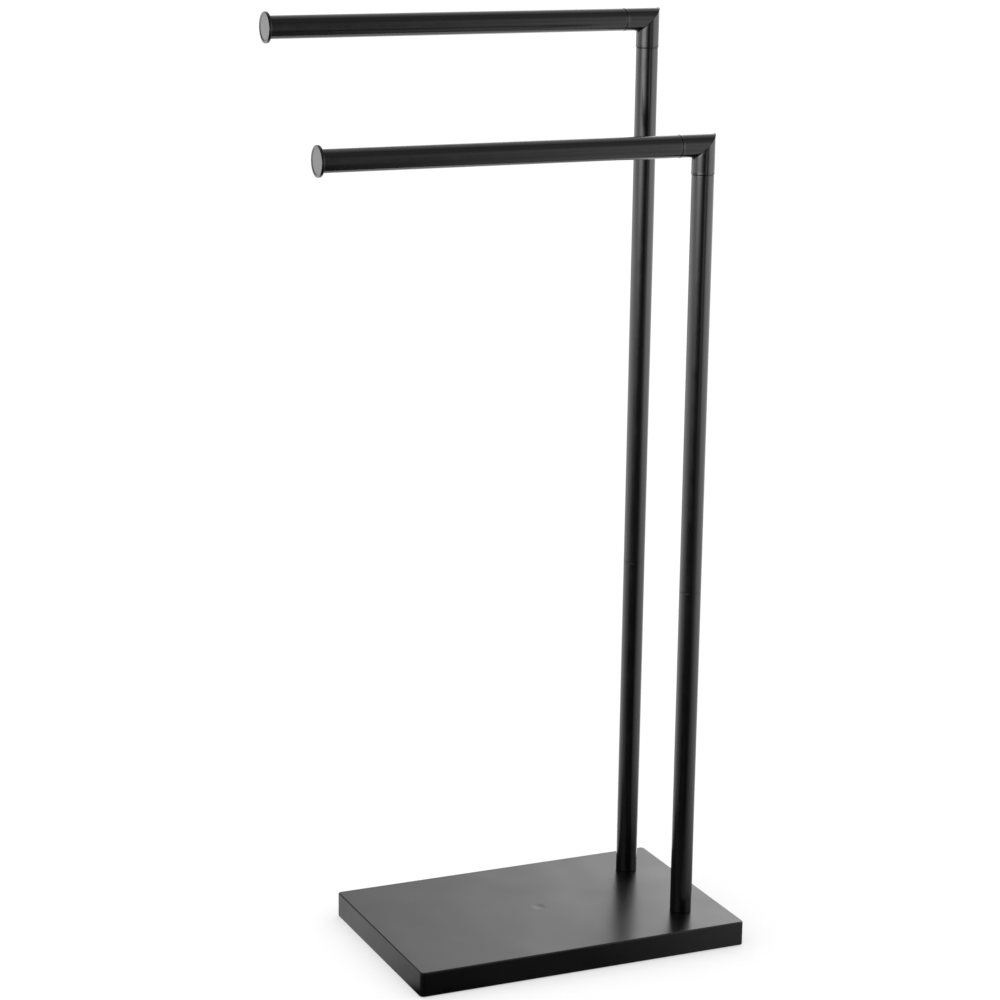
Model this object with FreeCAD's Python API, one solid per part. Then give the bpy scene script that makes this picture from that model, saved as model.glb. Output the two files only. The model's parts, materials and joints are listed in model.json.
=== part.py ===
import FreeCAD, Part
import math
import os

from FreeCAD import Placement, Rotation, Vector

# Freestanding towel stand: a weighted rectangular base, two round posts and two open-ended arms.
# Millimetres. The origin is on the floor under the centre of the base and +Z is up. The arms reach
# along -X, parallel to the long side of the base. The upper arm is on the rear post, which stands on
# the +Y side, and the lower arm is on the front post.

# Tube stock of the posts and the arms
tube_diameter = 20.0
tube_wall = 1.2
tube_end_chamfer = 0.3

# Fits
press_clearance = 0.05      # radial, round what is pressed or screwed into a bore
sheet_clearance = 0.3       # between the cover's walls and what lies inside them
bolt_clearance = 0.5        # radial, round a bolt that passes through a plate

# Base cover, a pan of folded sheet that is open underneath
base_length = 324.0
base_depth = 209.0
cover_height = 22.5
cover_sheet = 1.0
cover_corner_radius = 4.0
cover_top_edge_radius = 1.2
rim_lift = 1.0              # the rim's height above the floor

# Floor pad
pad_thickness = 2.0
pad_inset = 8.0             # from the outside of the cover
pad_corner_radius = 6.0
pad_hole_margin = 1.5       # round the bolt recesses

# Bottom plate, glued to the core board
plate_sheet = 1.0

# Posts
post_inset = 42.0           # from the right-hand end of the base to the posts' axes
post_spacing = 114.0
lower_post_length = 310.0

# Threaded inserts, coupling studs, and the foot bolts in recesses in the core board's underside
thread_diameter = 8.0
thread_engagement = 24.0
insert_length = 30.0
washer_diameter = 20.0
washer_thickness = 1.6
bolt_head_across_flats = 13.0
bolt_head_height = 5.3
recess_spare_depth = 1.6    # below the bolt head

# Arms: the height of the axis above the floor, and the reach from the post's axis to the cap's face
upper_arm_height = 840.0
lower_arm_height = 739.0
upper_arm_reach = 366.5
lower_arm_reach = 361.5

# Mitred elbows
elbow_step = 0.3            # radial, by which the elbow is larger than the tube
elbow_leg = 35.5            # from the outer corner to the seam
elbow_inner_radius = 3.0
elbow_bend_steps = 3        # the mitres in which the bead goes round the inside corner
elbow_bead_radius = 4.0
elbow_bead_sink = 0.05      # how far the bead lies below the surface of both legs
elbow_end_chamfer = 0.4
spigot_length = 22.0

# End caps
cap_overhang = 3.5          # radial, beyond the tube
cap_thickness = 2.6
cap_edge_chamfer = 0.5      # round the face
cap_rim_width = 2.4         # the raised ring round the dish in the cap's face
cap_dish_depth = 0.35
cap_dish_slope = 0.8
cap_plug_length = 16.0

# Worked out from the sizes above
tube_radius = tube_diameter / 2
plug_radius = tube_radius - tube_wall - press_clearance
thread_radius = thread_diameter / 2
bolt_hole_radius = thread_radius + bolt_clearance
post_x = base_length / 2 - post_inset
rear_post = Vector(post_x, post_spacing / 2, 0)
front_post = Vector(post_x, -post_spacing / 2, 0)
posts = [rear_post, front_post]
base_top = rim_lift + cover_height
plate_top = pad_thickness + plate_sheet
recess_depth = washer_thickness + bolt_head_height + recess_spare_depth
recess_top = plate_top + recess_depth
recess_radius = washer_diameter / 2 + bolt_clearance
post_seam = base_top + lower_post_length
elbow_radius = tube_radius + elbow_step
seam_offset = elbow_leg - elbow_radius

origin = Vector(0, 0, 0)
up = Vector(0, 0, 1)
left = Vector(-1, 0, 0)
tolerance = 1e-4


def at_height(height):
    return Vector(0, 0, height)


def edges_in_plane(shape, normal, distance):
    """The edges of shape that lie in the plane with this normal, at this distance from the origin."""
    found = []
    for edge in shape.Edges:
        offsets = [abs(point.dot(normal) - distance) for point in edge.discretize(5)]
        if max(offsets) < tolerance:
            found.append(edge)
    return found


def turned(shape, direction, place):
    """Shape with its +Z axis turned into direction and its origin moved to place."""
    shape.Placement = Placement(place, Rotation(up, direction))
    return shape


def slab(length, depth, height, corner_radius, foot_height):
    """A flat block centred on the Z axis, with its upright edges rounded."""
    block = Part.makeBox(length, depth, height, Vector(-length / 2, -depth / 2, foot_height))
    upright = [edge for edge in block.Edges if edge.BoundBox.ZLength > tolerance]
    return block.makeFillet(corner_radius, upright)


def inner_slab(height, foot_height):
    """A block that fills the inside of the cover, less the clearance."""
    step_in = cover_sheet + sheet_clearance
    inner_radius = cover_corner_radius - cover_sheet
    return slab(base_length - 2 * step_in, base_depth - 2 * step_in, height, inner_radius, foot_height)


def drilled(shape, places, radius, foot_height, depth):
    """Shape with a round hole of this depth, upwards from foot_height, at each place."""
    return shape.cut([Part.makeCylinder(radius, depth, place + at_height(foot_height)) for place in places])


def base_cover():
    outside = slab(base_length, base_depth, cover_height, cover_corner_radius, rim_lift)
    outside = outside.makeFillet(cover_top_edge_radius, edges_in_plane(outside, up, base_top))
    inner_length = base_length - 2 * cover_sheet
    inner_depth = base_depth - 2 * cover_sheet
    inner_height = cover_height - cover_sheet
    inside = slab(inner_length, inner_depth, inner_height, cover_corner_radius - cover_sheet, rim_lift)
    return drilled(outside.cut(inside), posts, bolt_hole_radius, base_top - cover_sheet, cover_sheet)


def base_core_board():
    """The board that fills the cover, with a bolt hole and a recess under each post."""
    thickness = base_top - cover_sheet - plate_top
    board = inner_slab(thickness, plate_top)
    board = drilled(board, posts, bolt_hole_radius, plate_top, thickness)
    return drilled(board, posts, recess_radius, plate_top, recess_depth)


def base_bottom_plate():
    return drilled(inner_slab(plate_sheet, pad_thickness), posts, recess_radius, pad_thickness, plate_sheet)


def base_floor_pad():
    length = base_length - 2 * pad_inset
    depth = base_depth - 2 * pad_inset
    pad = slab(length, depth, pad_thickness, pad_corner_radius, 0)
    return drilled(pad, posts, recess_radius + pad_hole_margin, 0, pad_thickness)


def hexagon_bar(corner_radius, length, foot):
    """A length of hexagon bar that stands on the point foot."""
    corner = Vector(corner_radius, 0, 0)
    turns = [Rotation(up, 60 * number) for number in range(7)]
    outline = Part.makePolygon([foot + turn.multVec(corner) for turn in turns])
    return Part.Face(outline).extrude(at_height(length))


def foot_bolts():
    """The bolts that come up through the board and the cover into the posts."""
    bolts = []
    under_head = recess_top - washer_thickness
    shank_length = base_top + thread_engagement - under_head
    for post in posts:
        head = hexagon_bar(bolt_head_across_flats / 3 ** 0.5, bolt_head_height,
                           post + at_height(under_head - bolt_head_height))
        shank = Part.makeCylinder(thread_radius, shank_length, post + at_height(under_head))
        bolts.append(head.fuse(shank).removeSplitter())
    return Part.makeCompound(bolts)


def foot_washers():
    seat = at_height(recess_top - washer_thickness)
    blanks = [Part.makeCylinder(washer_diameter / 2, washer_thickness, post + seat) for post in posts]
    return drilled(Part.makeCompound(blanks), posts, bolt_hole_radius, seat.z, washer_thickness)


def threaded_insert(post, foot_height):
    """A hexagon insert that a tube's end grips by its corners, with a threaded hole right through."""
    insert = hexagon_bar(plug_radius, insert_length, post + at_height(foot_height))
    return drilled(insert, [post], thread_radius + press_clearance, foot_height, insert_length)


def coupling_studs():
    """The studs that join the lower and the upper tube of each post, half of each in either insert."""
    length = 2 * thread_engagement
    foot = at_height(post_seam - thread_engagement)
    return Part.makeCompound([Part.makeCylinder(thread_radius, length, post + foot) for post in posts])


def tube(length, broken_ends):
    """Tube stock along +Z from the origin, with its outer edge broken at the ends at these heights."""
    outside = Part.makeCylinder(tube_radius, length)
    for end in broken_ends:
        outside = outside.makeChamfer(tube_end_chamfer, edges_in_plane(outside, up, end))
    return outside.cut(Part.makeCylinder(tube_radius - tube_wall, length))


def lower_post(post):
    """The tube from the base to the seam in the post."""
    return turned(tube(lower_post_length, [lower_post_length]), up, post + at_height(base_top))


def upper_post(post, arm_height):
    """The tube from the seam in the post to the elbow."""
    return turned(tube(arm_height - seam_offset - post_seam, [0]), up, post + at_height(post_seam))


def arm(post, arm_height, arm_reach):
    """The tube from the elbow to the end cap."""
    start = post + at_height(arm_height) + left * seam_offset
    length = arm_reach - seam_offset - cap_thickness
    return turned(tube(length, [length]), left, start)


def mitred_bar(radius, points):
    """A round bar along a path that sets out along +Z, with a mitre at each of its corners."""
    path = Part.makePolygon(points)
    section = Part.Wire(Part.makeCircle(radius, points[0], up))
    square_corner = 1
    return path.makePipeShell([section], True, False, square_corner)


def bend_points(bend_radius, steps):
    """A path that turns from +Z to -X in equal steps, round a quarter circle that it touches."""
    centre = Vector(-bend_radius, 0, -bend_radius)
    step_angle = 90 / steps
    corner = Vector(bend_radius / math.cos(math.radians(step_angle / 2)), 0, 0)
    turns = [Rotation(Vector(0, -1, 0), step_angle * (number + 0.5)) for number in range(steps)]
    corners = [centre + turn.multVec(corner) for turn in turns]
    return [at_height(-bend_radius)] + corners + [left * bend_radius]


def elbow(post, arm_height):
    """A cast mitre with a spigot on each leg, and a bead in the inside corner that rounds it off."""
    down = -up
    body = mitred_bar(elbow_radius, [down * seam_offset, origin, left * seam_offset])
    ends = edges_in_plane(body, down, seam_offset) + edges_in_plane(body, left, seam_offset)
    body = body.makeChamfer(elbow_end_chamfer, ends)
    bead = mitred_bar(elbow_bead_radius, bend_points(elbow_bead_radius + elbow_inner_radius, elbow_bend_steps))
    bead.translate((down + left) * (elbow_radius - elbow_bead_radius - elbow_bead_sink))
    spigots = [Part.makeCylinder(plug_radius, spigot_length, direction * seam_offset, direction)
               for direction in (down, left)]
    body = body.fuse([bead] + spigots).removeSplitter()
    return turned(body, up, post + at_height(arm_height))


def end_cap(post, arm_height, arm_reach):
    """A disc with a broken edge, a shallow dish in its face and a hexagon plug that the arm's end grips."""
    cap_radius = tube_radius + cap_overhang
    disc = Part.makeCylinder(cap_radius, cap_thickness)
    disc = disc.makeChamfer(cap_edge_chamfer, edges_in_plane(disc, up, 0))
    dish_radius = cap_radius - cap_rim_width
    disc = disc.cut(Part.makeCone(dish_radius, dish_radius - cap_dish_slope, cap_dish_depth))
    cap = disc.fuse(hexagon_bar(plug_radius, cap_plug_length, at_height(cap_thickness)))
    return turned(cap, -left, post + at_height(arm_height) + left * arm_reach)


def all_nodes():
    nodes = {
        "base_cover": base_cover(),
        "base_core_board": base_core_board(),
        "base_bottom_plate": base_bottom_plate(),
        "base_floor_pad": base_floor_pad(),
        "foot_washers": foot_washers(),
        "foot_bolts": foot_bolts(),
        "coupling_studs": coupling_studs(),
    }
    sides = [
        ("rear", rear_post, "upper", upper_arm_height, upper_arm_reach),
        ("front", front_post, "lower", lower_arm_height, lower_arm_reach),
    ]
    for side, post, level, arm_height, arm_reach in sides:
        nodes[side + "_foot_insert"] = threaded_insert(post, base_top)
        nodes[side + "_lower_post"] = lower_post(post)
        nodes[side + "_coupling_socket"] = threaded_insert(post, post_seam - insert_length)
        nodes[side + "_coupling_plug"] = threaded_insert(post, post_seam)
        nodes[side + "_upper_post"] = upper_post(post, arm_height)
        nodes[level + "_elbow"] = elbow(post, arm_height)
        nodes[level + "_arm"] = arm(post, arm_height, arm_reach)
        nodes[level + "_arm_end_cap"] = end_cap(post, arm_height, arm_reach)
    return nodes


os.makedirs("parts", exist_ok=True)
for name, shape in all_nodes().items():
    shape.exportStep("parts/" + name + ".step")
    print(name, "solids", len(shape.Solids), "valid", shape.isValid(), "volume", round(shape.Volume, 1))
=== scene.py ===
import json
import math

import bmesh
import bpy
from mathutils import Matrix, Vector


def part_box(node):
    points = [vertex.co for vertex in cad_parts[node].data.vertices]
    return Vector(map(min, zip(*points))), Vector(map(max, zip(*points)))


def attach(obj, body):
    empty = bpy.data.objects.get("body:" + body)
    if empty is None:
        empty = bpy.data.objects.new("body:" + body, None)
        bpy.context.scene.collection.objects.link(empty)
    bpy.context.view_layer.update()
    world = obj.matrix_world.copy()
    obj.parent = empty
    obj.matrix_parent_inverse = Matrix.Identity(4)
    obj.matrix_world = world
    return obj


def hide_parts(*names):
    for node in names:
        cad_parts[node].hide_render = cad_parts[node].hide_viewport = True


# A freestanding towel stand in satin black lacquer, on a white studio floor. Metres, +Z up, and the
# stand's front is -Y. The base and the hidden parts are the CAD model's own solids. Tubes, elbows and
# end caps are made anew over theirs, with rounded edges, and the studio and the camera follow.

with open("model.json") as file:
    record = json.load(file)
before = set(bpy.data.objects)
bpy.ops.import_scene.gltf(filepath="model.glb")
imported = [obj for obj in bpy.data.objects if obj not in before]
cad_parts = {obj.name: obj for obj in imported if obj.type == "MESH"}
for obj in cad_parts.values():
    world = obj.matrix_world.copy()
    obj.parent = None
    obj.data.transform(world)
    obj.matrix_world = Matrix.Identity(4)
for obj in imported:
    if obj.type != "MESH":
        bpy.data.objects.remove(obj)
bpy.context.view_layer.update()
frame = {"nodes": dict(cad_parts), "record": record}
nodes = frame["nodes"]
mm = 0.001
weldDistance = 0.001 * mm
sliverSize = 0.002 * mm
squareAngle = 1.0           # radians; only the square edges of a form turn by more
cornerAngle = 0.1           # radians; more than one facet of a round turns to the next
smoothAngle = math.radians(38)
noiseLow, noiseHigh = 0.3, 0.7      # noise seldom leaves this range
print("frame loaded,", len(nodes), "nodes")


def colour(hexText):
    # sRGB hex to the linear values that sockets take
    channels = [int(hexText[place:place + 2], 16) / 255 for place in (1, 3, 5)]
    return [c / 12.92 if c <= 0.04045 else ((c + 0.055) / 1.055) ** 2.4 for c in channels] + [1]


def addNode(tree, kind, settings=None, links=None):
    # settings fill the node's options or open sockets, links join its sockets to others' outputs
    node = tree.nodes.new(kind)
    for name, value in (settings or {}).items():
        if isinstance(name, str) and hasattr(node, name):
            setattr(node, name, value)
        else:
            node.inputs[name].default_value = value
    for name, source in (links or {}).items():
        tree.links.new(source, node.inputs[name])
    return node


def newMaterial(name):
    material = bpy.data.materials.new(name)
    material.use_nodes = True
    material.node_tree.nodes.clear()
    return material, material.node_tree


def finishMaterial(tree, shader):
    addNode(tree, "ShaderNodeOutputMaterial", {}, {"Surface": shader.outputs[0]})


# Sprayed and stoved satin black lacquer. It shows as a near black body with a soft grey sheen at a
# slant, a faint orange peel and slightly uneven gloss.
def satinLacquer(name, plan):
    material, tree = newMaterial(name)
    place = addNode(tree, "ShaderNodeTexCoord").outputs["Object"]
    peel = addNode(tree, "ShaderNodeTexNoise", {"Scale": 1 / plan["peelSize"], "Detail": 2.0},
                   {"Vector": place})
    cloud = addNode(tree, "ShaderNodeTexNoise", {"Scale": 1 / plan["cloudSize"], "Detail": 3.0},
                    {"Vector": place})
    wave = addNode(tree, "ShaderNodeTexNoise", {"Scale": 1 / plan["waveSize"], "Detail": 1.0},
                   {"Vector": place})
    gloss = addNode(tree, "ShaderNodeMapRange",
                    {"From Min": noiseLow, "From Max": noiseHigh,
                     "To Min": plan["roughness"] - plan["roughnessSpread"],
                     "To Max": plan["roughness"] + plan["roughnessSpread"]}, {"Value": cloud.outputs["Fac"]})
    tint = addNode(tree, "ShaderNodeMix",
                   {"data_type": "RGBA", "A": colour(plan["colour"]), "B": colour(plan["paleColour"])},
                   {"Factor": cloud.outputs["Fac"]})
    waveBump = addNode(tree, "ShaderNodeBump", {"Strength": 1.0, "Distance": plan["waveHeight"]},
                       {"Height": wave.outputs["Fac"]})
    peelBump = addNode(tree, "ShaderNodeBump", {"Strength": 1.0, "Distance": plan["peelHeight"]},
                       {"Height": peel.outputs["Fac"], "Normal": waveBump.outputs[0]})
    if "dimplePlace" in plan:
        # a shallow press mark, seen on the middle of the base
        away = addNode(tree, "ShaderNodeVectorMath",
                       {"operation": "DISTANCE", 1: plan["dimplePlace"]}, {0: place})
        hollow = addNode(tree, "ShaderNodeMapRange",
                         {"interpolation_type": "SMOOTHERSTEP", "From Max": plan["dimpleRadius"]},
                         {"Value": away.outputs["Value"]})
        peelBump = addNode(tree, "ShaderNodeBump", {"Strength": 1.0, "Distance": plan["dimpleDepth"]},
                           {"Height": hollow.outputs[0], "Normal": peelBump.outputs[0]})
    shader = addNode(tree, "ShaderNodeBsdfPrincipled", {"IOR": 1.5, "Metallic": 0.0},
                     {"Base Color": tint.outputs["Result"], "Roughness": gloss.outputs[0],
                      "Normal": peelBump.outputs[0]})
    finishMaterial(tree, shader)
    return material


tubeFinish = {
    "colour": "#030303",
    "paleColour": "#060606",
    "roughness": 0.21,
    "roughnessSpread": 0.03,
    "peelSize": 1.6 * mm,
    "peelHeight": 0.004 * mm,
    "cloudSize": 14 * mm,
    "waveSize": 60 * mm,
    "waveHeight": 0.05 * mm,
}
castingFinish = {
    **tubeFinish,
    "peelSize": 1.1 * mm,
    "peelHeight": 0.006 * mm,
}
sheetFinish = {
    **tubeFinish,
    "roughness": 0.297,
    "roughnessSpread": 0.02,
    "peelSize": 3.0 * mm,
    "peelHeight": 0.001 * mm,
    "cloudSize": 30 * mm,
    "waveSize": 80 * mm,
    "waveHeight": 0.8 * mm,
    "dimplePlace": (0, 0, 0.0235),
    "dimpleRadius": 8 * mm,
    "dimpleDepth": 0.2 * mm,
}
lacqueredTube = satinLacquer("lacqueredTube", tubeFinish)
lacqueredCasting = satinLacquer("lacqueredCasting", castingFinish)
lacqueredSheet = satinLacquer("lacqueredSheet", sheetFinish)


# Zinc plated steel, for the bolts, washers and threaded parts: bright, a little cloudy, with a faint
# blue and yellow cast that comes and goes.
def zincPlate(name, plan):
    material, tree = newMaterial(name)
    place = addNode(tree, "ShaderNodeTexCoord").outputs["Object"]
    cast = addNode(tree, "ShaderNodeTexNoise", {"Scale": 1 / plan["castSize"], "Detail": 1.0},
                   {"Vector": place})
    grain = addNode(tree, "ShaderNodeTexNoise", {"Scale": 1 / plan["grainSize"], "Detail": 3.0},
                    {"Vector": place})
    tint = addNode(tree, "ShaderNodeMix",
                   {"data_type": "RGBA", "A": colour(plan["coolColour"]), "B": colour(plan["warmColour"])},
                   {"Factor": cast.outputs["Fac"]})
    gloss = addNode(tree, "ShaderNodeMapRange",
                    {"From Min": noiseLow, "From Max": noiseHigh,
                     "To Min": plan["roughness"] - plan["roughnessSpread"],
                     "To Max": plan["roughness"] + plan["roughnessSpread"]}, {"Value": grain.outputs["Fac"]})
    bump = addNode(tree, "ShaderNodeBump", {"Strength": 1.0, "Distance": plan["grainHeight"]},
                   {"Height": grain.outputs["Fac"]})
    shader = addNode(tree, "ShaderNodeBsdfPrincipled", {"Metallic": 1.0},
                     {"Base Color": tint.outputs["Result"], "Roughness": gloss.outputs[0],
                      "Normal": bump.outputs[0]})
    finishMaterial(tree, shader)
    return material


zincFinish = {
    "coolColour": "#c3c9d2",
    "warmColour": "#d2cdbd",
    "castSize": 9 * mm,
    "roughness": 0.34,
    "roughnessSpread": 0.07,
    "grainSize": 0.7 * mm,
    "grainHeight": 0.006 * mm,
}


# Raw medium-density fibreboard: pressed wood fibres, light brown faces that are flecked with darker
# and paler strands, fully matt.
def pressedFibreboard(name, plan):
    material, tree = newMaterial(name)
    place = addNode(tree, "ShaderNodeTexCoord").outputs["Object"]
    lay = addNode(tree, "ShaderNodeMapping", {"Scale": plan["fibreLay"]}, {"Vector": place})
    fibre = addNode(tree, "ShaderNodeTexNoise",
                    {"Scale": 1 / plan["fibreSize"], "Detail": 6.0, "Roughness": 0.65, "Distortion": 0.8},
                    {"Vector": lay.outputs[0]})
    patch = addNode(tree, "ShaderNodeTexNoise", {"Scale": 1 / plan["patchSize"], "Detail": 2.0},
                    {"Vector": place})
    flecks = addNode(tree, "ShaderNodeMapRange",
                     {"From Min": plan["fleckFrom"], "From Max": plan["fleckTo"]},
                     {"Value": fibre.outputs["Fac"]})
    board = addNode(tree, "ShaderNodeMix",
                    {"data_type": "RGBA", "A": colour(plan["darkColour"]), "B": colour(plan["paleColour"])},
                    {"Factor": flecks.outputs[0]})
    shade = addNode(tree, "ShaderNodeMix",
                    {"data_type": "RGBA", "B": colour(plan["middleColour"])},
                    {"Factor": patch.outputs["Fac"], "A": board.outputs["Result"]})
    bump = addNode(tree, "ShaderNodeBump", {"Strength": 1.0, "Distance": plan["fibreHeight"]},
                   {"Height": fibre.outputs["Fac"]})
    shader = addNode(tree, "ShaderNodeBsdfPrincipled", {"IOR": 1.45, "Roughness": 0.85},
                     {"Base Color": shade.outputs["Result"], "Normal": bump.outputs[0]})
    finishMaterial(tree, shader)
    return material


boardFinish = {
    "darkColour": "#7d6040",
    "middleColour": "#a58660",
    "paleColour": "#bd9f78",
    "fibreSize": 1.2 * mm,
    "fibreLay": (1, 1, 3),
    "fibreHeight": 0.04 * mm,
    "fleckFrom": 0.35,      # in the fibres' noise
    "fleckTo": 0.7,
    "patchSize": 30 * mm,
}


# Calendered rubber sheet: matt black with the fine cloth-like grip of its press, and a grey bloom.
def rubberSheet(name, plan):
    material, tree = newMaterial(name)
    place = addNode(tree, "ShaderNodeTexCoord").outputs["Object"]
    bloom = addNode(tree, "ShaderNodeTexNoise", {"Scale": 1 / plan["bloomSize"], "Detail": 4.0},
                    {"Vector": place})
    grip = addNode(tree, "ShaderNodeTexVoronoi", {"Scale": 1 / plan["gripSize"]}, {"Vector": place})
    tint = addNode(tree, "ShaderNodeMix",
                   {"data_type": "RGBA", "A": colour(plan["colour"]), "B": colour(plan["bloomColour"])},
                   {"Factor": bloom.outputs["Fac"]})
    bump = addNode(tree, "ShaderNodeBump", {"Strength": 1.0, "Distance": plan["gripHeight"]},
                   {"Height": grip.outputs["Distance"]})
    shader = addNode(tree, "ShaderNodeBsdfPrincipled", {"IOR": 1.52, "Roughness": 0.72},
                     {"Base Color": tint.outputs["Result"], "Normal": bump.outputs[0]})
    finishMaterial(tree, shader)
    return material


rubberFinish = {
    "colour": "#151515",
    "bloomColour": "#272726",
    "bloomSize": 22 * mm,
    "gripSize": 0.9 * mm,
    "gripHeight": 0.05 * mm,
}
platedSteel = zincPlate("zincPlatedSteel", zincFinish)
rawBoard = pressedFibreboard("rawFibreboard", boardFinish)
mattRubber = rubberSheet("calenderedRubber", rubberFinish)
print("materials made")

finishes = {
    "black_sheet": lacqueredSheet,
    "black_tube": lacqueredTube,
    "black_casting": lacqueredCasting,
    "zinc_plated_steel": platedSteel,
    "fibreboard": rawBoard,
    "black_rubber": mattRubber,
}
slotOfNode = {part["node"]: part["material_slot"] for part in frame["record"]["subparts"]}
for name, node in nodes.items():
    node.material_slots[0].material = finishes[slotOfNode[name]]


def spunForm(profile, steps, closed):
    # a profile of (radius, height) points, turned all the way round the Z axis
    form = bmesh.new()
    points = [form.verts.new((radius, 0, height)) for radius, height in profile]
    for first, second in zip(points, points[1:] + points[:1] if closed else points[1:]):
        form.edges.new((first, second))
    bmesh.ops.spin(form, geom=form.verts[:] + form.edges[:], cent=(0, 0, 0), axis=(0, 0, 1),
                   angle=2 * math.pi, steps=steps, use_merge=True)
    bmesh.ops.remove_doubles(form, verts=form.verts, dist=weldDistance)
    bmesh.ops.recalc_face_normals(form, faces=form.faces)
    return form


def roundEdges(form, edges, width, segments):
    bmesh.ops.bevel(form, geom=edges, offset=width, offset_type="OFFSET", segments=segments, profile=0.5,
                    affect="EDGES", clamp_overlap=True, material=-1)


def turnTo(direction, place):
    # takes +Z to a direction, and the origin to a place
    return Matrix.Translation(place) @ Vector(direction).to_track_quat("Z", "Y").to_matrix().to_4x4()


# the finished piece takes the finish of the CAD node's slot, hangs from the root body, and the CAD node is
# hidden
def finishPiece(form, matrix, name, node):
    # the finished piece stands for a CAD node and takes its slot and material
    bmesh.ops.dissolve_degenerate(form, dist=sliverSize, edges=form.edges)
    bmesh.ops.transform(form, matrix=matrix, verts=form.verts)
    mesh = bpy.data.meshes.new(name)
    form.to_mesh(mesh)
    form.free()
    mesh.shade_smooth()
    mesh.set_sharp_from_angle(angle=smoothAngle)
    mesh.materials.append(finishes[slotOfNode[node]])
    piece = bpy.data.objects.new(name, mesh)
    bpy.context.scene.collection.objects.link(piece)
    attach(piece, "root")
    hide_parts(node)


def middleLine(node):
    # a straight tube's two ends and its radius
    low, high = (Vector(corner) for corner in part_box(node))
    span = high - low
    along = max(range(3), key=lambda axis: span[axis])
    half = Vector([span[along] / 2 if axis == along else 0 for axis in range(3)])
    return (low + high) / 2 - half, (low + high) / 2 + half, min(span) / 2


tubePlan = {
    "wall": 1.2 * mm,
    "brokenEdge": 0.4 * mm,
    "edgeStrip": 1.2 * mm,      # keeps the rounding of an end out of the long faces
    "edgeSteps": 3,
    "steps": 96,
}


def drawnTube(name, node, plan):
    # a length of tube with all its edges broken
    start, end, radius = middleLine(node)
    length = (end - start).length
    bore = radius - plan["wall"]
    strip = plan["edgeStrip"]
    form = spunForm([(bore, 0), (radius, 0), (radius, strip), (radius, length - strip), (radius, length),
                     (bore, length), (bore, length - strip), (bore, strip)], plan["steps"], True)
    rims = [edge for edge in form.edges if edge.calc_face_angle() > squareAngle]
    roundEdges(form, rims, plan["brokenEdge"], plan["edgeSteps"])
    finishPiece(form, turnTo(end - start, start), name, node)


for node in ("rear_lower_post", "rear_upper_post", "front_lower_post", "front_upper_post",
             "upper_arm", "lower_arm"):
    drawnTube(node + "_tube", node, tubePlan)
print("tubes made")

capPlan = {
    "thickness": 2.6 * mm,
    "faceRounding": 0.5 * mm,
    "faceSteps": 4,
    "backRounding": 0.2 * mm,
    "backSteps": 2,
    "edgeStrip": 0.3 * mm,      # keeps each rounding out of the flat faces
    "rimWidth": 1.5 * mm,       # the raised ring round the dish
    "dishDepth": 0.55 * mm,
    "dishSlope": 1.5 * mm,
    "dishRounding": 0.3 * mm,
    "dishSteps": 3,
    "plugRadius": 8.75 * mm,    # to the hexagon's corners
    "steps": 96,
}


def castCap(name, node, plan):
    # a disc with a dished face, and the hexagon plug behind it that the tube grips
    low, high = (Vector(corner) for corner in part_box(node))
    radius = (high.z - low.z) / 2
    back = -plan["thickness"]
    dish = radius - plan["rimWidth"]
    floor = dish - plan["dishSlope"]
    strip = plan["edgeStrip"]
    form = spunForm([(0, back), (radius - 2 * strip, back), (radius, back), (radius, back + 2 * strip),
                     (radius, -3 * strip), (radius, 0), (radius - 2.5 * strip, 0), (dish + 1.5 * strip, 0),
                     (dish, 0), (floor, -plan["dishDepth"]), (floor - 2 * strip, -plan["dishDepth"]),
                     (0, -plan["dishDepth"])], plan["steps"], False)
    corners = [edge for edge in form.edges if edge.calc_face_angle() > cornerAngle]
    outer = [edge for edge in corners if edge.verts[0].co.xy.length > radius - weldDistance]
    inner = [edge for edge in corners if edge not in outer]
    roundEdges(form, inner, plan["dishRounding"], plan["dishSteps"])
    roundEdges(form, [edge for edge in outer if edge.is_valid and edge.verts[0].co.z > back / 2],
               plan["faceRounding"], plan["faceSteps"])
    roundEdges(form, [edge for edge in form.edges if edge.calc_face_angle() > squareAngle],
               plan["backRounding"], plan["backSteps"])
    plug = bmesh.ops.create_circle(form, cap_ends=True, segments=6, radius=plan["plugRadius"],
                                   matrix=Matrix.Translation((0, 0, low.x - high.x)))
    sheet = [face for face in form.faces if set(face.verts) == set(plug["verts"])]
    grown = bmesh.ops.extrude_face_region(form, geom=sheet)["geom"]
    bmesh.ops.translate(form, verts=[item for item in grown if isinstance(item, bmesh.types.BMVert)],
                        vec=(0, 0, high.x - low.x + back))
    bmesh.ops.recalc_face_normals(form, faces=form.faces)
    face = Vector((low.x, (low.y + high.y) / 2, (low.z + high.z) / 2))
    finishPiece(form, turnTo((-1, 0, 0), face), name, node)


castCap("upper_arm_disc", "upper_arm_end_cap", capPlan)
castCap("lower_arm_disc", "lower_arm_end_cap", capPlan)
print("end caps made")

elbowPlan = {
    "radius": 10.3 * mm,
    "armStep": 0.25 * mm,       # the arm's leg is thinner by this, which leaves the post's leg an edge
    "lip": 0.2 * mm,            # the thickened end of a leg
    "lipWidth": 0.3 * mm,
    "lipSlope": 1.6 * mm,       # runs out at 7 degrees, which catches the strip light
    "endRounding": 0.25 * mm,
    "endSteps": 3,
    "seamGap": 0.25 * mm,       # what shows of the spigot between casting and tube
    "spigotRadius": 8.75 * mm,
    "spigotLength": 22 * mm,
    "creaseRounding": 0.8 * mm,
    "creaseSteps": 3,
    "creaseFrom": 0.1,          # of the radius, from the mitre's middle
    "edgeStrip": 1.2 * mm,
    "beadRadius": 4.0 * mm,
    "beadBend": 7.0 * mm,       # of its middle line
    "beadSink": 0.05 * mm,
    "beadSteps": 12,
    "steps": 96,
}


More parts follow.
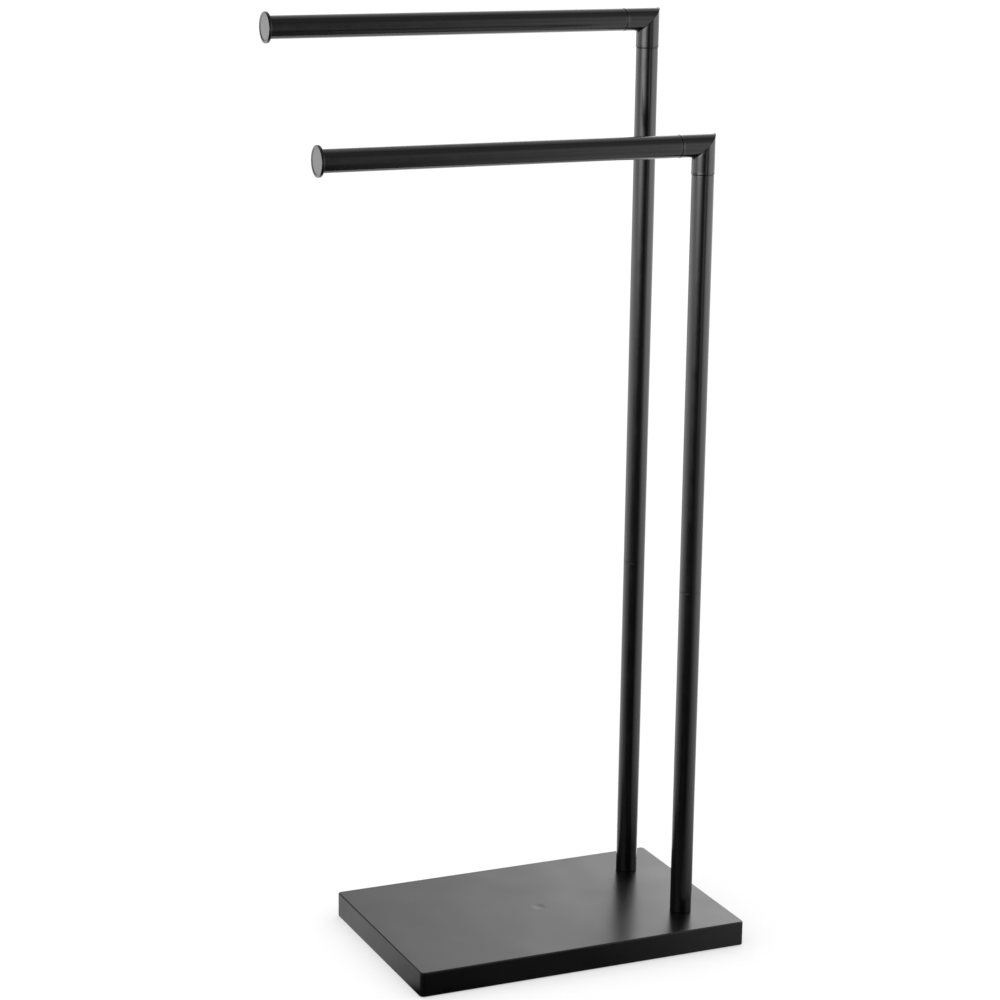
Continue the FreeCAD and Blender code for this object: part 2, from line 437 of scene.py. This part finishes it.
def mitredLeg(leg, radius, plan):
    # a leg along -Z with its lip and spigot, cut off at the mitre
    tip = -leg - plan["spigotLength"]
    end = plan["seamGap"] - leg
    strip = plan["edgeStrip"]
    lip = radius + plan["lip"]
    runOut = end + plan["lipWidth"] + plan["lipSlope"]
    form = spunForm([(0, tip), (plan["spigotRadius"], tip), (plan["spigotRadius"], end), (lip, end),
                     (lip, end + plan["lipWidth"]), (radius, runOut), (radius, runOut + strip / 2),
                     (radius, 2 * radius)], plan["steps"], False)
    roundEdges(form, [edge for edge in form.edges if not edge.is_boundary
                      and edge.calc_face_angle() > squareAngle and edge.verts[0].co.xy.length > radius],
               plan["endRounding"], plan["endSteps"])
    # the first cut is the mitre itself, the second a loop beside it
    for height, clear in ((0, True), (-2 * strip, False)):
        bmesh.ops.bisect_plane(form, geom=form.verts[:] + form.edges[:] + form.faces[:],
                               dist=0.1 * weldDistance, plane_co=(0, 0, height), plane_no=(-1, 0, 1),
                               clear_outer=clear)
    bmesh.ops.holes_fill(form, edges=[edge for edge in form.edges if edge.is_boundary], sides=0)
    return form


def castElbow(name, node, post, arm, plan):
    top = middleLine(post)[1]
    start = middleLine(arm)[1]
    corner = Vector((top.x, top.y, start.z))
    leg = corner.z - top.z
    radius = plan["radius"]
    form = mitredLeg(leg, radius, plan)
    # the mitre's edge, on the inner half only
    inside = [edge for edge in form.edges
              if all(abs(vert.co.x - vert.co.z) < weldDistance and vert.co.x < -plan["creaseFrom"] * radius
                     for vert in edge.verts)]
    roundEdges(form, inside, plan["creaseRounding"], plan["creaseSteps"])
    # the arm's leg is the mirror image on the other side of the mitre
    armLeg = mitredLeg(leg, radius - plan["armStep"], plan)
    mirrorAtMitre = Matrix(((0, 0, 1, 0), (0, 1, 0, 0), (1, 0, 0, 0), (0, 0, 0, 1)))
    bmesh.ops.transform(armLeg, matrix=mirrorAtMitre, verts=armLeg.verts)
    armMesh = bpy.data.meshes.new("armLeg")
    armLeg.to_mesh(armMesh)
    armLeg.free()
    form.from_mesh(armMesh)
    bpy.data.meshes.remove(armMesh)
    # a bead fills the inside corner
    bend = -(radius - plan["beadRadius"] - plan["beadSink"]) - plan["beadBend"]
    ring = bmesh.ops.create_circle(form, segments=plan["steps"] // 2, radius=plan["beadRadius"],
                                   matrix=Matrix.Translation((bend + plan["beadBend"], 0, bend)))["verts"]
    loop = list({edge for vert in ring for edge in vert.link_edges})
    bmesh.ops.spin(form, geom=ring + loop, cent=(bend, 0, bend), axis=(0, -1, 0), angle=math.pi / 2,
                   steps=plan["beadSteps"])
    bmesh.ops.holes_fill(form, edges=[edge for edge in form.edges if edge.is_boundary], sides=0)
    bmesh.ops.recalc_face_normals(form, faces=form.faces)
    finishPiece(form, Matrix.Translation(corner), name, node)


castElbow("upper_mitre", "upper_elbow", "rear_upper_post", "upper_arm", elbowPlan)
castElbow("lower_mitre", "lower_elbow", "front_upper_post", "lower_arm", elbowPlan)
print("elbows made")

# What the gloss mirrors, as brightness against the white of the room: black flags in front, a long strip
# light at the left, white walls at the right and behind, and a dark ceiling. The levels were fitted to
# how light or dark the real stand is from place to place, and then changed one by one.
studio = {
    "around": (    # degrees from the front, positive towards the posts
        -180, -165, -144, -119, -99, -86, -78, -70, -62, -50, -36,
        -22, -8, 8, 20, 34, 52, 76, 102, 122, 140, 158),
    "floorBands": {     # metres from the stand: brightness at each angle round it
        0.15: (0.73, 1.09, 0.4, 0.77, 0.68, 0.63, 0.5, 0.45, 0, 0, 0.07,
               0.07, 0.09, 0.07, 0.14, 0.2, 0.32, 0, 0, 2.92, 2.44, 1.26),
        0.5: (1.26, 1.18, 1.79, 0.94, 0.63, 0.26, 0.1, 0.3, 0, 0, 0.05,
              0.05, 0, 0, 0.36, 0.63, 1.01, 1.21, 0.84, 1.58, 0.66, 0.84),
        1.3: (1.28, 1.1, 2.19, 1.54, 1.39, 0.67, 0.59, 0, 0, 0, 0,
              0.1, 0.11, 0.24, 0.46, 1.05, 1.72, 1.59, 1.23, 1.27, 2.15, 1.7),
        4.5: (0.97, 1.2, 2.61, 3.2, 3.0, 2.3, 1.53, 1.14, 1.21, 0.48, 0,
              0.16, 0.05, 1.46, 0, 2.7, 3.21, 2.57, 1.96, 1, 0.92, 0.83),
        6.6: (0.17, 2.05, 1.94, 1.55, 1.09, 2.56, 5.8, 7.4, 7.4, 6.2, 2.16,
              0.27, 0, 1.32, 0, 1.86, 3.14, 2.42, 1.46, 1.99, 2.92, 0.12),
    },
    "wallBands": {      # degrees above the horizon
        0: (0.17, 2.05, 1.94, 1.55, 1.0, 1.3, 5.8, 7.03, 7.03, 5.98, 2.16,
            0.27, 0, 1.32, 0, 1.86, 3.14, 1.2, 0.9, 1.99, 2.92, 0.12),
        9: (0.07, 0.82, 0.78, 0.62, 0.44, 1.02, 2.32, 2.81, 2.81, 2.39, 0.87,
            0.11, 0, 0.53, 0, 2.18, 3.04, 1.2, 0.9, 3.48, 5.19, 0.65),
        13: (0.02, 0.27, 0.26, 0.21, 0.4, 0.7, 1.0, 0.94, 0.94, 0.8, 0.29,
             0.04, 0, 0.18, 0, 2.32, 2.99, 1.79, 2.11, 4.15, 6.2, 0.88),
        25: (0, 0, 0, 0, 0.3, 0.5, 0.5, 0, 0, 0, 0,
             0, 0, 0, 0.04, 1.44, 1.87, 1.02, 1.87, 2.85, 4.03, 0.94),
        38: (0, 0, 0, 0, 0.3, 0.4, 0.4, 0, 0, 0, 0,
             0, 0, 0, 0.08, 0.46, 0.73, 0.32, 1.45, 1.16, 1.29, 0.83),
        44: (0, 0, 0, 0, 0, 0, 0, 0, 0, 0, 0,
             0, 0, 0, 0.07, 0.41, 0.65, 0.28, 1.28, 1.03, 1.14, 0.73),
        90: (0, 0, 0, 0, 0, 0, 0, 0, 0, 0, 0,
             0, 0, 0, 0, 0, 0, 0, 0, 0, 0, 0),
    },
    "brightest": 8.0,       # what the white of a colour ramp stands for
    "dimmestFloor": 0.01,
    "dimmestWall": 0.08,    # what even the black flags send back
    "floorSize": 60.0,
    "floorDrop": 0.05 * mm,
    "floorLap": 1 * mm,     # under the edge of the stand's pad
    "floorColour": "#c9c9c9",
    "floorGlow": 0.46,
}


# One table of the studio as nodes: a ramp over the angle for each band, blended over the measure.
def studioBands(tree, vector, measure, bands, dimmest):
    parts = addNode(tree, "ShaderNodeSeparateXYZ", {}, {"Vector": vector})
    front = addNode(tree, "ShaderNodeMath", {"operation": "MULTIPLY", 1: -1.0}, {0: parts.outputs["Y"]})
    angle = addNode(tree, "ShaderNodeMath", {"operation": "ARCTAN2"},
                    {0: parts.outputs["X"], 1: front.outputs[0]})
    share = addNode(tree, "ShaderNodeMapRange", {"From Min": -math.pi, "From Max": math.pi},
                    {"Value": angle.outputs[0]})
    level = None
    previous = None
    for reach, brightness in bands.items():
        ramp = addNode(tree, "ShaderNodeValToRGB", {}, {"Fac": share.outputs[0]})
        stops = ramp.color_ramp.elements
        shares = [max(bright, dimmest) / studio["brightest"] for bright in brightness]
        stops[0].color = stops[1].color = [shares[0]] * 3 + [1]
        for degrees, bright in list(zip(studio["around"], shares))[1:]:
            stops.new((degrees + 180) / 360).color = [bright] * 3 + [1]
        if level is None:
            level = ramp.outputs["Color"]
        else:
            blend = addNode(tree, "ShaderNodeMapRange", {"From Min": previous, "From Max": reach},
                            {"Value": measure})
            mixed = addNode(tree, "ShaderNodeMix", {"data_type": "RGBA"},
                            {"Factor": blend.outputs[0], "A": level, "B": ramp.outputs["Color"]})
            level = mixed.outputs["Result"]
        previous = reach
    return level


def studioWorld():
    world = bpy.data.worlds.new("studioWorld")
    bpy.context.scene.world = world
    world.use_nodes = True
    world.cycles.sampling_method = "NONE"
    tree = world.node_tree
    tree.nodes.clear()
    direction = addNode(tree, "ShaderNodeTexCoord").outputs["Generated"]
    height = addNode(tree, "ShaderNodeSeparateXYZ", {}, {"Vector": direction}).outputs["Z"]
    radians = addNode(tree, "ShaderNodeMath", {"operation": "ARCSINE"}, {0: height})
    degrees = addNode(tree, "ShaderNodeMath", {"operation": "DEGREES"}, {0: radians.outputs[0]})
    walls = studioBands(tree, direction, degrees.outputs[0], studio["wallBands"], studio["dimmestWall"])
    room = addNode(tree, "ShaderNodeBackground", {"Strength": studio["brightest"]}, {"Color": walls})
    white = addNode(tree, "ShaderNodeBackground", {"Color": (1, 1, 1, 1), "Strength": 1.0})
    ray = addNode(tree, "ShaderNodeLightPath")
    mixed = addNode(tree, "ShaderNodeMixShader", {},
                    {0: ray.outputs["Is Glossy Ray"], 1: white.outputs[0], 2: room.outputs[0]})
    addNode(tree, "ShaderNodeOutputWorld", {}, {"Surface": mixed.outputs[0]})


def studioFloor():
    # white sweep: its own shaded white to the camera, and the studio's light and dark sides in the gloss;
    # it has no underside, and is cut out under the pad, so that the stand can be looked at from below
    form = bmesh.new()
    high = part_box("base_floor_pad")[1]
    rings = []
    for halfX, halfY in ((studio["floorSize"] / 2, studio["floorSize"] / 2),
                         (high[0] - studio["floorLap"], high[1] - studio["floorLap"])):
        rings.append([form.verts.new((x * halfX, y * halfY, -studio["floorDrop"]))
                      for x, y in ((-1, -1), (1, -1), (1, 1), (-1, 1))])
    for side in range(4):
        form.faces.new((rings[0][side - 1], rings[0][side], rings[1][side], rings[1][side - 1]))
    mesh = bpy.data.meshes.new("studioFloor")
    form.to_mesh(mesh)
    form.free()
    floor = bpy.data.objects.new("studioFloor", mesh)
    bpy.context.scene.collection.objects.link(floor)
    material, tree = newMaterial("paintedSweep")
    material.cycles.emission_sampling = "NONE"
    place = addNode(tree, "ShaderNodeTexCoord").outputs["Object"]
    distance = addNode(tree, "ShaderNodeVectorMath", {"operation": "LENGTH"}, {0: place})
    around = studioBands(tree, place, distance.outputs["Value"], studio["floorBands"],
                         studio["dimmestFloor"])
    paint = addNode(tree, "ShaderNodeBsdfDiffuse", {"Color": colour(studio["floorColour"])})
    glow = addNode(tree, "ShaderNodeEmission", {"Color": (1, 1, 1, 1), "Strength": studio["floorGlow"]})
    seen = addNode(tree, "ShaderNodeAddShader", {}, {0: paint.outputs[0], 1: glow.outputs[0]})
    mirrored = addNode(tree, "ShaderNodeEmission", {"Strength": studio["brightest"]}, {"Color": around})
    ray = addNode(tree, "ShaderNodeLightPath")
    mixed = addNode(tree, "ShaderNodeMixShader", {},
                    {0: ray.outputs["Is Glossy Ray"], 1: seen.outputs[0], 2: mirrored.outputs[0]})
    clear = addNode(tree, "ShaderNodeBsdfTransparent")
    side = addNode(tree, "ShaderNodeNewGeometry")
    oneSided = addNode(tree, "ShaderNodeMixShader", {},
                       {0: side.outputs["Backfacing"], 1: mixed.outputs[0], 2: clear.outputs[0]})
    finishMaterial(tree, oneSided)
    mesh.materials.append(material)


studioWorld()
studioFloor()
print("studio set")

cameraPlan = {
    "target": (-0.0659, 0.0, 0.4166),
    "distance": 2.5584,
    "yaw": -23.69,          # degrees from the front, negative towards the arms' free ends
    "pitch": 14.0,          # degrees down
    "roll": 0.69,
    "pictureWidth": 1000,   # pixels
    "focalPixels": 2856.3,
    "shiftPixels": (21.0, 6.0),
    "sensorWidth": 36,      # millimetres
    "farClip": 100,
}


def placeCamera(plan):
    camera = bpy.data.objects.new("camera", bpy.data.cameras.new("camera"))
    bpy.context.scene.collection.objects.link(camera)
    yaw, pitch, roll = (math.radians(plan[key]) for key in ("yaw", "pitch", "roll"))
    back = Vector((math.sin(yaw) * math.cos(pitch), -math.cos(yaw) * math.cos(pitch), math.sin(pitch)))
    levelRight = Vector((0, 0, 1)).cross(back).normalized()
    levelUp = back.cross(levelRight)
    right = levelRight * math.cos(roll) + levelUp * math.sin(roll)
    turn = Matrix((right, back.cross(right), back)).transposed().to_4x4()
    camera.matrix_world = Matrix.Translation(Vector(plan["target"]) + back * plan["distance"]) @ turn
    width = plan["pictureWidth"]
    camera.data.sensor_width = plan["sensorWidth"]
    camera.data.lens = plan["sensorWidth"] * plan["focalPixels"] / width
    camera.data.shift_x, camera.data.shift_y = (pixels / width for pixels in plan["shiftPixels"])
    camera.data.clip_end = plan["farClip"]
    bpy.context.scene.camera = camera


placeCamera(cameraPlan)
bpy.context.scene.view_settings.view_transform = "Standard"

print("scene ready")
